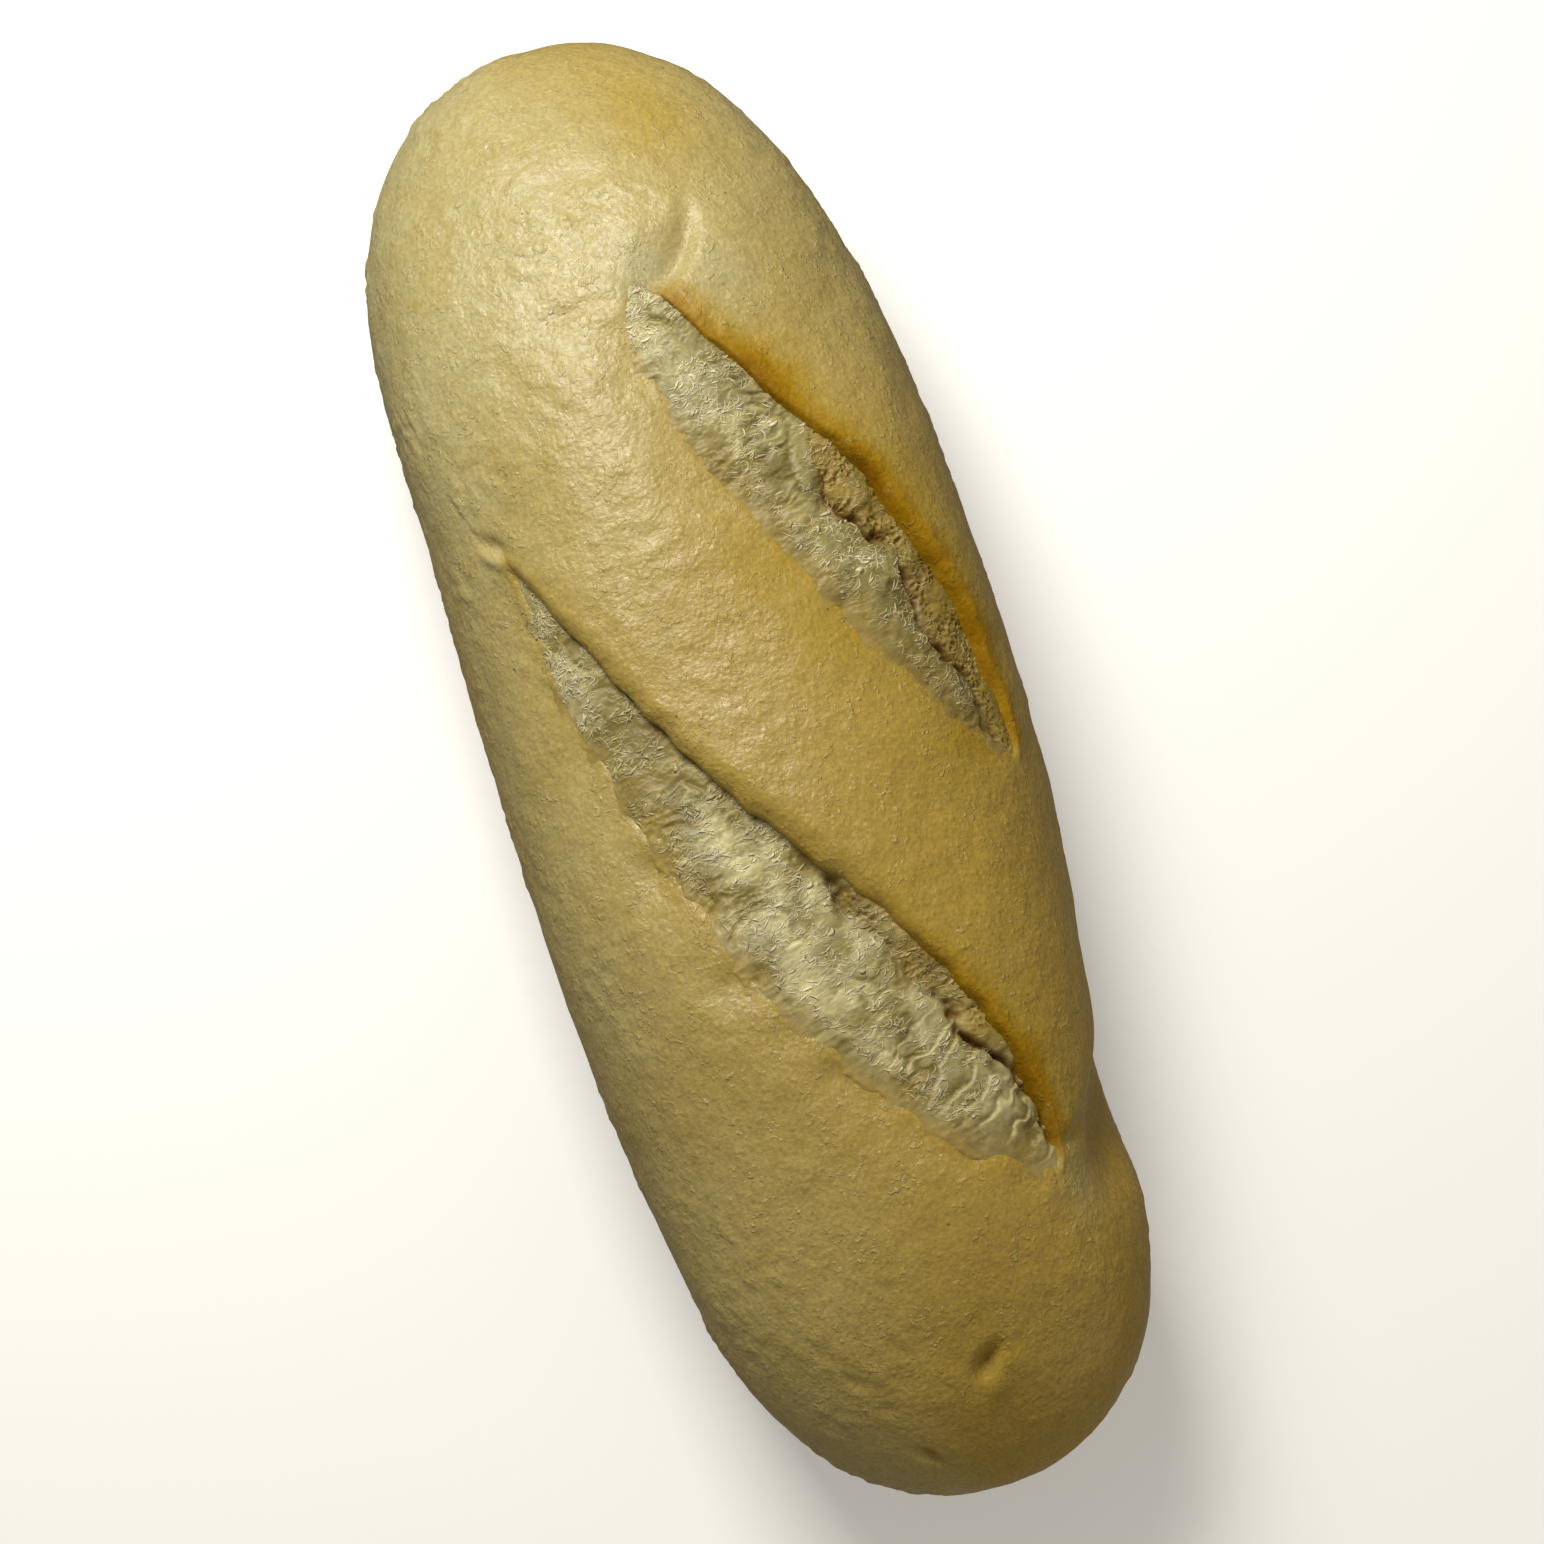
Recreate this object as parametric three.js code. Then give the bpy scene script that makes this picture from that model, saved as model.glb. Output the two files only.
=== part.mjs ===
// A sub roll: an oblong loaf with a flat base, a domed crust and two slanting slashes.
// Each slash has sprung open in the oven. Torn crumb swells out of its lower side, and on
// its upper side the crust stands up as a lip over a narrow cleft.
// Millimetres. X runs along the roll, Z is up, and the roll rests on Z = 0.

import * as THREE from "three";
import { mergeVertices } from "three/addons/utils/BufferGeometryUtils.js";

// Overall size
const LENGTH = 203;
const WIDTH = 70.3;
const HEIGHT = 52;

// Plan and side outlines, where an exponent of 2 is an ellipse and a higher one is blunter
const PLAN_BLUNTNESS = 4.37;
const CROWN_BLUNTNESS = 3;
const KEEL_BLUNTNESS = 5;

// Cross-section, where an exponent of 2 is an ellipse and a higher one is squarer
const BELLY_HEIGHT = 0.42 * HEIGHT;
const DOME_SQUARENESS = 2.2;
const UNDERSIDE_SQUARENESS = 3.2;
const BASE_PRESS = 3;
const BASE_ROUNDING = 1.5;

// The far end is a little slimmer, and the centre line wanders from side to side
const TAPER = { share: 0.079, x: 55, reach: 25.6 };
const SWAY = { size: 1.1, x: -24, period: 139.5 };

// Millimetres round the crust for each radian from the top line
const ARC_RADIUS = 35;

// Each slash is placed by its middle, along the roll and round the arc from the top line.
// A peak is where an edge bows out most, from -1 at the first tip to 1 at the last, and a
// pair of sharpnesses says how each side of it falls away. The torn wall below the lip is
// as wide as the way from the cleft to the lip, between two shares along the slash, and a
// share of it lies beyond the lip's own bow.
const SLASHES = [
  {
    x: -24.5,
    arc: 19,
    slant: 23.5,
    length: 84,
    crumbWidth: 12.1,
    crumbPeak: -0.15,
    crumbSharpness: [0.65, 0.72],
    crumbSink: 0.9,
    lipWidth: 4,
    lipPeak: 0.35,
    lipSharpness: [1.8, 0.5],
    lipDip: 0,
    lipStartRise: 0.35,
    wallWidth: 5.2,
    wallOutside: 0.27,
    wallStart: -0.32,
    wallEnd: 1.05,
  },
  {
    x: 16,
    arc: -2.8,
    slant: 26.8,
    length: 112,
    crumbWidth: 14.2,
    crumbPeak: 0.25,
    crumbSharpness: [0.9, 0.78],
    crumbSink: 1.7,
    lipWidth: 6,
    lipPeak: 0.72,
    lipSharpness: [4, 0.6],
    lipDip: 1.4,
    lipStartRise: 1,
    wallWidth: 3.6,
    wallOutside: 0.2,
    wallStart: 0.02,
    wallEnd: 0.85,
  },
];
const CLEFT_DEPTH = 2.6;
const CLEFT_WIDTH = 1.6;
const CRUMB_EDGE_STEP = 0.7;
const CRUMB_EDGE_SHARE = 0.2;
const CRUMB_ROUNDING = 1.1;
const LIP_RISE = 1.6;
const LIP_REACH = 11;
const LIP_WALL = 1.2;
const LIP_DIP = { along: -0.25, reach: 0.55 };
const LIP_GROWTH = { start: -0.5, end: 0.1 };
const WALL_GROWTH = 0.27;

// Crags of torn crumb: ridges that run across the slash
const CRAG_HEIGHT = 1.2;
const CRAG_SPACING = 5;
const CRAG_RUN = 3.6;

// Soft oval hollows of the crust, each with half sizes and a turn from the roll's length: the side
// notch where the long slash runs out, the flatter and fuller stretches of both sides, and the pits
const HOLLOWS = [
  { x: 60.5, arc: 45, halfLength: 15, halfWidth: 6.5, turn: 118, depth: 4.2 },
  { x: -45, arc: -50, halfLength: 16, halfWidth: 12, turn: 0, depth: 0.7 },
  { x: 30, arc: -52, halfLength: 20, halfWidth: 12, turn: 0, depth: 0.5 },
  { x: 15, arc: 50, halfLength: 20, halfWidth: 12, turn: 0, depth: -0.7 },
  { x: -60.5, arc: 10, halfLength: 6, halfWidth: 2.5, turn: 130, depth: 1 },
  { x: -33, arc: -31.5, halfLength: 5, halfWidth: 3, turn: 40, depth: 0.8 },
  { x: 85.2, arc: 2.7, halfLength: 3.5, halfWidth: 2.5, turn: 117, depth: 0.9 },
  { x: 94, arc: -17.4, halfLength: 3, halfWidth: 2.5, turn: 72, depth: 0.9 },
];

// Slow unevenness of the crust, which fades towards the base
const UNEVENNESS = 0.45;
const UNEVEN_ALONG = 31;
const UNEVEN_ROUND = 24;

// All relief fades out at the tips, and a higher exponent keeps it closer to them
const TIP_FADE = 8;

// Grid of the surface: columns round the roll, crowded into the slashes, and rows from end to end
const COLUMNS = 64;
const ROWS = 90;
const CROWDING = 3.4;
const CROWDED_REACH = 11;
const END_CROWDING = 0.55;
const COLUMN_SLANT = 25;
const SAMPLES_ROUND = 3600;
const DIFFERENCE_STEP = 0.02;

const CRUST_COLOUR = 0xb9a064;
const CRUST_ROUGHNESS = 0.6;

const { degToRad: radians, lerp, smoothstep } = THREE.MathUtils;

// Half the outline's spread at a share of the half length, 1 at the middle and 0 at the tip
function reachAt(share, bluntness) {
  return Math.sqrt(Math.max(0, 1 - Math.abs(share) ** bluntness));
}

// A smooth hump, 1 at its centre
function hump(offset, reach) {
  return Math.exp(-((offset / reach) ** 2));
}

// An angle brought into the range from minus half a turn to half a turn
function wrapAngle(angle) {
  return angle - 2 * Math.PI * Math.round(angle / (2 * Math.PI));
}

// A point of the smooth body, at an angle from the top line towards +Y
function bodyPoint(x, angle) {
  const share = x / (LENGTH / 2);
  const taper = 1 - TAPER.share * hump(x - TAPER.x, TAPER.reach);
  const halfWidth = (WIDTH / 2) * taper * reachAt(share, PLAN_BLUNTNESS);
  const crown = (HEIGHT - BELLY_HEIGHT) * reachAt(share, CROWN_BLUNTNESS);
  const keel = (BELLY_HEIGHT + BASE_PRESS) * reachAt(share, KEEL_BLUNTNESS);
  const side = Math.sin(angle);
  const up = Math.cos(angle);
  const squareness = up >= 0 ? DOME_SQUARENESS : UNDERSIDE_SQUARENESS;
  const swell = (Math.abs(side) ** squareness + Math.abs(up) ** squareness) ** (-1 / squareness);
  const sway = SWAY.size * Math.cos((2 * Math.PI * (x - SWAY.x)) / SWAY.period);
  const y = halfWidth * swell * side + sway;
  const z = BELLY_HEIGHT + (up >= 0 ? crown : keel) * swell * up;
  return new THREE.Vector3(x, y, z);
}

// The outward direction of the smooth body
function bodyNormal(x, angle) {
  const inner = x * (1 - DIFFERENCE_STEP / LENGTH);
  const forward = bodyPoint(inner + DIFFERENCE_STEP, angle).sub(bodyPoint(inner - DIFFERENCE_STEP, angle));
  const round = bodyPoint(inner, angle + DIFFERENCE_STEP).sub(bodyPoint(inner, angle - DIFFERENCE_STEP));
  return round.cross(forward).negate().normalize();
}

// How far an edge bows out, 1 at its peak and 0 at both tips
function bow(along, peak, sharpness) {
  const span = along > peak ? 1 - peak : 1 + peak;
  const power = along > peak ? sharpness[1] : sharpness[0];
  return Math.max(0, 1 - ((along - peak) / span) ** 2) ** power;
}

// A repeatable number from 0 to 1 for each point of a whole-number grid
function scatter(column, row) {
  const mixed = Math.sin(column * 127.1 + row * 311.7) * 43758.5453;
  return mixed - Math.floor(mixed);
}

// Smooth bumps from -1 to 1, one to each cell of the whole-number grid
function bumps(a, b) {
  const column = Math.floor(a);
  const row = Math.floor(b);
  const easeA = smoothstep(a - column, 0, 1);
  const easeB = smoothstep(b - row, 0, 1);
  const near = lerp(scatter(column, row), scatter(column + 1, row), easeA);
  const far = lerp(scatter(column, row + 1), scatter(column + 1, row + 1), easeA);
  return 2 * lerp(near, far, easeB) - 1;
}

// Distances across a slash of its crumb edge, its cleft and its lip
function slashEdges(slash, along) {
  const dip = slash.lipDip * reachAt(along, 2) * hump(along - LIP_DIP.along, LIP_DIP.reach);
  const opening = smoothstep(along, slash.wallStart, slash.wallStart + WALL_GROWTH);
  const closing = smoothstep(slash.wallEnd - along, 0, WALL_GROWTH);
  const wall = slash.wallWidth * opening * closing;
  const bowed = slash.lipWidth * bow(along, slash.lipPeak, slash.lipSharpness);
  const lip = bowed - dip + slash.wallOutside * wall;
  const cleft = lip - wall;
  const crumb = -slash.crumbWidth * bow(along, slash.crumbPeak, slash.crumbSharpness);
  return { crumb, cleft, lip };
}

// Height of a slash's crumb, cleft and lip over the smooth body
function slashRelief(slash, x, arc) {
  const slant = radians(slash.slant);
  const forward = x - slash.x;
  const sideways = arc - slash.arc;
  const run = forward * Math.cos(slant) + sideways * Math.sin(slant);
  const across = sideways * Math.cos(slant) - forward * Math.sin(slant);
  const along = run / (slash.length / 2);
  if (Math.abs(along) >= 1) {
    return 0;
  }
  const openness = reachAt(along, 2);
  const { crumb, cleft, lip } = slashEdges(slash, along);
  const growth = smoothstep(along, LIP_GROWTH.start, LIP_GROWTH.end);
  const lipTop = LIP_RISE * openness * lerp(slash.lipStartRise, 1, growth);
  const cleftFloor = -(CRUMB_EDGE_STEP + slash.crumbSink + CLEFT_DEPTH) * openness;
  if (across > lip) {
    return lipTop * hump(across - lip, LIP_REACH);
  }
  if (across > cleft) {
    const climb = (across - cleft) / Math.max(lip - cleft, LIP_WALL);
    return lerp(cleftFloor, lipTop, Math.min(1, climb));
  }
  const inside = (across - crumb) / Math.max(cleft - crumb, CRUMB_ROUNDING);
  if (inside <= 0) {
    return 0;
  }
  const edge = Math.min(1, inside / CRUMB_EDGE_SHARE) * openness;
  const drop = CRUMB_EDGE_STEP * edge + slash.crumbSink * openness * inside * inside;
  const plunge = CLEFT_DEPTH * openness * hump(cleft - across, CLEFT_WIDTH);
  const crags = bumps(run / CRAG_SPACING, across / CRAG_RUN + slash.x) * CRAG_HEIGHT;
  return crags * edge - drop - plunge;
}

// Depth of an oval hollow, which is a bulge where its depth is below zero
function hollowDepth(hollow, x, arc) {
  const turn = radians(hollow.turn);
  const ahead = x - hollow.x;
  const aside = arc - hollow.arc;
  const run = (ahead * Math.cos(turn) + aside * Math.sin(turn)) / hollow.halfLength;
  const across = (aside * Math.cos(turn) - ahead * Math.sin(turn)) / hollow.halfWidth;
  return hollow.depth * hump(Math.hypot(run, across), 1);
}

// Height of the whole relief over the smooth body
function relief(x, angle) {
  const arc = ARC_RADIUS * wrapAngle(angle);
  const phase = (Math.PI * x) / UNEVEN_ALONG + 2 * Math.cos(angle);
  const waves = Math.sin(phase) * Math.sin((Math.PI * arc) / UNEVEN_ROUND);
  let height = UNEVENNESS * Math.cos(angle / 2) ** 2 * waves;
  for (const slash of SLASHES) {
    height += slashRelief(slash, x, arc);
  }
  for (const hollow of HOLLOWS) {
    height -= hollowDepth(hollow, x, arc);
  }
  return height * reachAt(x / (LENGTH / 2), TIP_FADE);
}

// A height pressed flat on the pan, with a rounded edge
function pressed(z) {
  if (Math.abs(z) >= BASE_ROUNDING) {
    return Math.max(0, z);
  }
  return (z + BASE_ROUNDING) ** 2 / (4 * BASE_ROUNDING);
}

// A point of the finished roll
function rollPoint(x, angle) {
  const point = bodyPoint(x, angle);
  point.addScaledVector(bodyNormal(x, angle), relief(x, angle));
  point.z = pressed(point.z);
  return point;
}

// Angles of the grid columns where X is 0, closer together along both slashes
function columnAngles() {
  const slope = Math.tan(radians(COLUMN_SLANT));
  const centres = SLASHES.map((slash) => (slash.arc - slope * slash.x - slash.crumbWidth / 3) / ARC_RADIUS);
  const reach = CROWDED_REACH / ARC_RADIUS;
  const totals = [0];
  for (let i = 0; i < SAMPLES_ROUND; i += 1) {
    const angle = Math.PI * (1 - (2 * (i + 0.5)) / SAMPLES_ROUND);
    const crowd = centres.reduce((sum, centre) => sum + hump(angle - centre, reach), 0);
    totals.push(totals[i] + 1 + CROWDING * crowd);
  }
  const angles = [];
  let sample = 0;
  for (let column = 0; column <= COLUMNS; column += 1) {
    const wanted = (totals[SAMPLES_ROUND] * column) / COLUMNS;
    while (sample < SAMPLES_ROUND && totals[sample + 1] < wanted) {
      sample += 1;
    }
    const part = (wanted - totals[sample]) / (totals[sample + 1] - totals[sample]);
    angles.push(Math.PI * (1 - (2 * (sample + part)) / SAMPLES_ROUND));
  }
  return angles;
}

// A sphere's grid, its poles at the two ends of the roll and its columns slanted with the slashes
function rollGeometry() {
  const sphere = new THREE.SphereGeometry(1, COLUMNS, ROWS);
  const angles = columnAngles();
  const twist = Math.tan(radians(COLUMN_SLANT)) / ARC_RADIUS;
  const position = sphere.attributes.position;
  for (let i = 0; i < position.count; i += 1) {
    const column = i % (COLUMNS + 1);
    const row = Math.floor(i / (COLUMNS + 1));
    const even = 1 - (2 * row) / ROWS;
    const share = (1 - END_CROWDING) * even + END_CROWDING * Math.sin((even * Math.PI) / 2);
    const x = (share * LENGTH) / 2;
    const point = rollPoint(x, angles[column] + twist * x);
    position.setXYZ(i, point.x, point.y, point.z);
  }
  sphere.deleteAttribute("normal");
  sphere.deleteAttribute("uv");
  const welded = mergeVertices(sphere, 1e-3);
  welded.computeBoundingBox();
  const centre = welded.boundingBox.getCenter(new THREE.Vector3());
  welded.translate(-centre.x, -centre.y, -welded.boundingBox.min.z);
  welded.computeVertexNormals();
  return welded;
}

const crust = new THREE.MeshStandardMaterial({
  color: CRUST_COLOUR,
  roughness: CRUST_ROUGHNESS,
  metalness: 0,
});
const roll = new THREE.Mesh(rollGeometry(), crust);
roll.name = "sub_roll";

const model = new THREE.Group();
model.add(roll);

export default model;
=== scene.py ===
import math
from dataclasses import dataclass

import bpy
import numpy as np
from mathutils import Matrix, Vector


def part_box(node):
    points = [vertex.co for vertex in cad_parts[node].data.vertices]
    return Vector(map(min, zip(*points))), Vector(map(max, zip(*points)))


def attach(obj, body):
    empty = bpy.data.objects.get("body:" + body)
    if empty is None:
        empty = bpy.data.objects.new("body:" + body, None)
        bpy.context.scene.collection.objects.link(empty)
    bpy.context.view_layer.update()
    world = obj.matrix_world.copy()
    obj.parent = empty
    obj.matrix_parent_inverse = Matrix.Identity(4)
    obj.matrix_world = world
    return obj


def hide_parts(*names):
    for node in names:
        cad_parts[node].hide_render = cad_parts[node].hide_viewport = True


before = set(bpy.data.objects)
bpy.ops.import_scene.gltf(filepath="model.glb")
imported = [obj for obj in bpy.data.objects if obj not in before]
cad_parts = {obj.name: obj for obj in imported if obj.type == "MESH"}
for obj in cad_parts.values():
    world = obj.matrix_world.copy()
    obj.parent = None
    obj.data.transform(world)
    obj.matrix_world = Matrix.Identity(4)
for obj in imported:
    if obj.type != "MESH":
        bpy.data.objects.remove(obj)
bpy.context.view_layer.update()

# Shapes are worked out in millimetres and degrees, and written to Blender in metres
MM = 0.001
NODE = "sub_roll"
BODY = "root"
node_low, node_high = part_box(NODE)

# The smooth body, as in the CAD model
LENGTH = (node_high[0] - node_low[0]) / MM
WIDTH = 70.3
HEIGHT = 52.0
BELLY_HEIGHT = 0.42 * HEIGHT
PLAN_BLUNTNESS = 4.37
CROWN_BLUNTNESS = 3.0
KEEL_BLUNTNESS = 5.0
DOME_SQUARENESS = 2.2
UNDERSIDE_SQUARENESS = 3.2
BASE_PRESS, BASE_ROUNDING = 3.0, 1.5
TAPER_SHARE, TAPER_X, TAPER_REACH = 0.079, 55.0, 25.6
SWAY, SWAY_X, SWAY_PERIOD = 1.1, -24.0, 139.5
ARC_RADIUS = 35.0
HALF_TURN = math.pi * ARC_RADIUS
TIP_FADE = 8.0
UNEVENNESS, UNEVEN_ALONG, UNEVEN_ROUND = 0.45, 31.0, 24.0

# Lips and edges that both slashes share
LIP_RISE, LIP_REACH, LIP_INNER = 1.6, 11.0, 5.0
LIP_DIP_ALONG, LIP_DIP_REACH = -0.25, 0.55
LIP_GROWTH_START, LIP_GROWTH_SPAN = -0.5, 0.6
LIP_WOBBLE, LIP_WOBBLE_SPACING = 0.35, 3.0
EDGE_WOBBLE, EDGE_WOBBLE_SPACING = 0.6, 6.0
WALL_WOBBLE, WALL_WOBBLE_SPACING = 0.45, 5.0
WALL_GROWTH = 0.27
OPENING_SPAN, TIP_SPAN, FILM_SPAN = 0.08, 0.06, 0.08
CURB_RADIUS, SOFT_CURB_REACH, SOFT_CURB_SLOPE = 1.4, 3.2, 0.55
EDGE_REACH, FOLD_SPACING, FOLD_REACH = 5.0, 4.5, 2.4
TROUGH_DEPTH, TROUGH_WALL, TROUGH_START, TROUGH_SLOPE = 7.0, 0.8, 0.9, 4.0

# Browning along the lips, and browning with painted shade along the crumb edges
BROWN_BAND, BROWN_BAND_GROWTH, BROWN_LINE = 1.8, 2.3, 1.2
LIP_PATCH, EDGE_PATCH, EDGE_BROWN_AND_SHADE_REACH = 9.0, 7.0, 7.5
EDGE_LINE, EDGE_LINE_BROWN_AND_SHADE = 1.5, 0.1

# Fine relief of the crust
FINE_UNEVENNESS, FINE_SPACING = 0.2, 8.0
PIMPLE_HEIGHT, PALE_PIMPLE_HEIGHT = 0.17, 0.2
PIMPLE_SPACING, PIMPLE_PATCH = 2.1, 6.0
CREASE_STEPS = 25

# Grid of the crust
CRUST_ROWS = 290
COLUMN_STEP, UNDER_STEP, LIP_STEP = 0.78, 1.9, 0.3
TOP_ARC, LIP_BAND = 80.0, 4.5
COLUMN_SLOPE = math.tan(math.radians(25.0))
COLUMN_SAMPLES, LIP_SAMPLES = 8001, 400
LIP_WARP_REACH = 18.0
END_CROWDING = 0.35

# Grid and main shape of the torn crumb, and the tones that its material reads
CRUMB_STEP_ALONG, CRUMB_STEP_ACROSS = 0.17, 0.15
CRUMB_TIP = 0.985
CRUMB_TUCK_LEFT, CRUMB_TUCK_LIP, CRUMB_TUCK_DEPTH = 2.6, 1.0, 1.3
CRUMB_SWELL_SHARE, CRUMB_SWELL_REACH, EDGE_OVERLAP = 0.8, 5.0, 0.04
WALL_TOP_DEPTH, COVERED_DEPTH, SLAB_DEPTH = 0.7, 1.5, 9.0
GOLDEN_RIM, GOLDEN_RIM_REACH = 0.55, 6.5
CRACK_DEPTH, CRACK_WIDTH, CRACK_SPACING = 2.0, 0.6, 5.0
# The tuft tone is partly the crumb's paler tufts and partly painted shade, and the crack tone is painted
# shade
TONES = ("toast", "rim", "film", "crack", "lit_tuft")

# Relief of the torn crumb, with sizes along and across its fibres
FIBRE_TURN, FUZZ_TURN, PLEAT_TURN = 100.0, 120.0, 128.0
LUMP_HEIGHT, LUMP_SPACING = 0.2, 5.0
SMALL_LUMP_HEIGHT, SMALL_LUMP_SPACING = 0.16, 2.2
VALLEY_DEPTH, VALLEY_LENGTH, VALLEY_WIDTH = 0.34, 6.0, 3.8
FLAKE_HEIGHT, FLAKE_LENGTH, FLAKE_WIDTH = 0.13, 2.8, 0.9
FELT_HEIGHT, FELT_SPACING = 0.12, 1.7
FUZZ_HEIGHT, FUZZ_LENGTH, FUZZ_WIDTH = 0.035, 0.9, 0.38
PORE_SPACING = 1.0
PLEAT_HEIGHT, PLEAT_SPACING, PLEAT_RAGGEDNESS = 0.6, 2.9, 0.22

# Torn strands that lie on the crumb
STRAND_DENSITY = 4.2
STRAND_STATIONS, STRAND_SIDES = 7, 3
STRAND_ROWS, STRAND_COLUMNS = (0.04, 0.88), (0.22, 0.93)
STRAND_STEP, STRAND_LIFT, STRAND_CLUMP = 0.2, 0.12, 3.0
STRAND_SPREAD, STRAND_CURL, STRAND_ROLL = 0.46, 0.24, 0.45
STRAND_THICKNESS = (0.02, 0.045)
SEED = 7

# Colours, as red, green and blue on screen from 0 to 255
PALE_CRUST, PALE_BLOTCH = (186, 177, 127), (179, 167, 112)
# The gold colours are the crust's own bake and also its painted shade towards the lower end and the flanks
GOLD_CRUST, GOLD_BLOTCH = (177, 148, 58), (169, 139, 48)
MOTTLED_CRUST, STAINED_CRUST = (176, 151, 80), (166, 143, 66)
TAN_CRUST, BROWN_CRUST, DARK_CRUST = (172, 145, 58), (158, 121, 16), (132, 93, 1)
# The first colour here is for pale, stretched crust and for one painted highlight; the second is painted
# glints on the blisters' tips
STRETCHED_AND_LIT_CRUST, PAINTED_BLISTER_GLINT = (182, 173, 130), (228, 216, 164)
# The upper slash's crumb colours are a darker copy of the lower's, as painted shade; in each pair the
# second colour is for hollows and for painted shade
SHADED_UPPER_CRUMB, SHADED_UPPER_CRUMB_HOLLOW = (174, 165, 116), (126, 112, 60)
LOWER_CRUMB, LOWER_CRUMB_HOLLOW_AND_SHADE = (207, 198, 150), (138, 123, 67)
STRAND, STRAND_HOLLOW_AND_SHADE = (224, 218, 186), (184, 174, 128)
CRUMB_FILM, CRUMB_RIM = (190, 180, 134), (178, 153, 82)
# The second colour here is painted shade in the cracks and in the pores of the torn wall
TOASTED_CRUMB, PAINTED_CRACK_SHADE = (162, 136, 58), (112, 80, 30)

# Finish of the surfaces: shine, bumps too fine for the mesh, and light that spreads below the surface
CRUMB_ROUGHNESS, CRUMB_SHINE = 0.45, 0.35
DIMPLE_SPACING, DIMPLE_DEPTH = 3.0, 0.36
PEBBLE_SPACING, PEBBLE_DEPTH = 1.1, 0.08
WRINKLE_SPACING, WRINKLE_DEPTH = 0.5, 0.12
BLISTER_SPACING, BLISTER_DEPTH = 0.8, 0.12
CRUMB_BUMP_SPACING, CRUMB_BUMP_DEPTH = 0.45, 0.03
CRUST_GLOW, CRUST_GLOW_DEPTH, CRUST_GLOW_PARTS = 0.15, 1.5, (1.0, 0.7, 0.35)
CRUMB_GLOW, CRUMB_GLOW_DEPTH, CRUMB_GLOW_PARTS = 0.5, 1.2, (1.0, 0.8, 0.45)
STRAND_GLOW = 0.0

# Camera, with its focal length in pixels of the picture
CAMERA_AZIMUTH, CAMERA_ELEVATION, CAMERA_DISTANCE = 71.6, 82.0, 500.0
IMAGE_SIZE, FOCAL_PIXELS, SENSOR = 1544, 3747.5, 36.0
AIM_HEIGHT, AIM_RIGHT, AIM_DOWN = 22.0, 1.13, 2.9

# Floor in metres, and lights placed to the picture's right, up the picture and above the floor
FLOOR_SIZE, FLOOR_GLOW = 6.0, 0.25
FLOOR_COLOUR = (0.88, 0.88, 0.87, 1.0)
KEY_RIGHT, KEY_UP, KEY_HEIGHT = -135, 255, 370
KEY_TARGET, KEY_SIZE, KEY_POWER = 30, 210, 2.15
KEY_COLOUR = (1.0, 0.97, 0.9)
FILL_RIGHT, FILL_UP, FILL_HEIGHT = 260, -220, 160
FILL_TARGET, FILL_SIZE, FILL_POWER = 20, 300, 0.12
FILL_COLOUR = (1.0, 0.92, 0.78)
SKY_COLOUR, SKY_STRENGTH = (1.0, 0.9, 0.7, 1.0), 0.21

# A share along a slash that lies past its last tip, for what the slash doesn't have
NOWHERE = 9.0


@dataclass
class Slash:
    """One slash: its place, how its edges bow out, how its lip is baked and how its crumb is torn.

    Places along it are shares from -1 at its first tip to 1 at its last.
    """

    x: float
    arc: float
    slant: float
    length: float
    crumb_width: float
    crumb_peak: float
    crumb_sharpness: tuple
    lip_width: float
    lip_peak: float
    lip_sharpness: tuple
    lip_dip: float
    wall_width: float
    wall_outside: float
    wall_start: float
    wall_end: float
    wall_holes: float
    rise_start: float
    sink: float
    edge_drop: float
    brown_start: float
    brown_full: float
    # Browning with painted shade along the crumb edge
    edge_brown_and_shade: float
    edge_folds: float
    covered: float
    pleats_start: float
    film_start: float
    # Where along the slash the crumb's painted light is strongest, and how far it reaches
    painted_lit_along: float
    painted_lit_reach: float
    ruffled_along: float
    ruffled_reach: float
    # How much painted shade the crumb gets away from its lightest stretch
    painted_shade_away: float
    seed: int


UPPER_SLASH = Slash(
    x=-24.5, arc=19.0, slant=23.5, length=84.0,
    crumb_width=12.1, crumb_peak=-0.15, crumb_sharpness=(0.65, 0.72),
    lip_width=4.0, lip_peak=0.35, lip_sharpness=(1.8, 0.5), lip_dip=0.0,
    wall_width=5.2, wall_outside=0.27, wall_start=-0.32, wall_end=1.05, wall_holes=0.5,
    rise_start=0.35, sink=0.7, edge_drop=1.3,
    brown_start=-1.1, brown_full=-0.85, edge_brown_and_shade=0.8, edge_folds=0.15,
    covered=-0.91, pleats_start=NOWHERE, film_start=NOWHERE,
    painted_lit_along=-0.9, painted_lit_reach=1.2, ruffled_along=-0.9, ruffled_reach=1.2, painted_shade_away=0.54, seed=11)
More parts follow.
